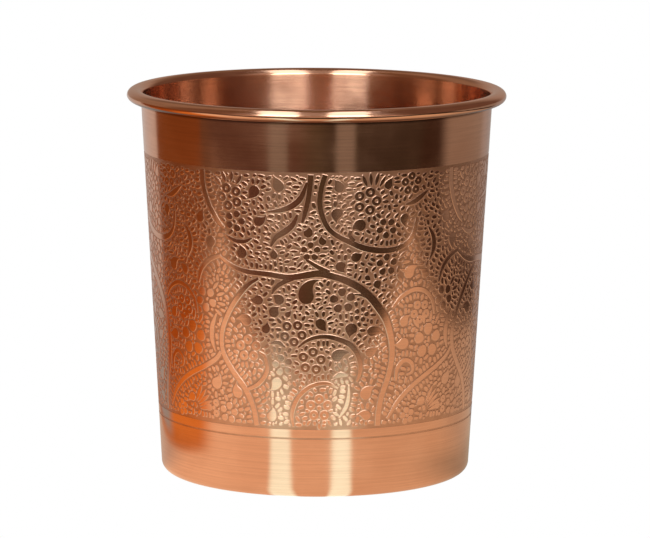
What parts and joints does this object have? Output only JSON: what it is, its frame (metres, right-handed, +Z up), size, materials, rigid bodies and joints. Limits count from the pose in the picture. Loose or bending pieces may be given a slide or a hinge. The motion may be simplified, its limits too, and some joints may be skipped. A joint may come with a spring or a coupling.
{
  "type": "tumbler",
  "caption": "Tapered round copper drinking tumbler with a wired rolled rim, an inward-turned foot, a seated base pan and an etched band of floral scroll round the wall.",
  "frame": {"origin": "middle of the foot, on the surface that the tumbler stands on", "axes": "+Z up along the tumbler's axis; the piece is round, so +X and +Y are any two directions square to it"},
  "size_m": [0.081, 0.081, 0.0824],
  "materials": {
    "wall_copper": "polished copper with a finely etched, matte ground",
    "wire_copper": "drawn copper wire",
    "pan_copper": "spun and polished copper",
    "braze_brass": "smooth brass filler, a little dull"
  },
  "bodies": {
    "root": {"wall": "wall_copper", "rim_wire": "wire_copper", "base_pan": "pan_copper", "base_braze": "braze_brass"}
  },
  "joints": []
}
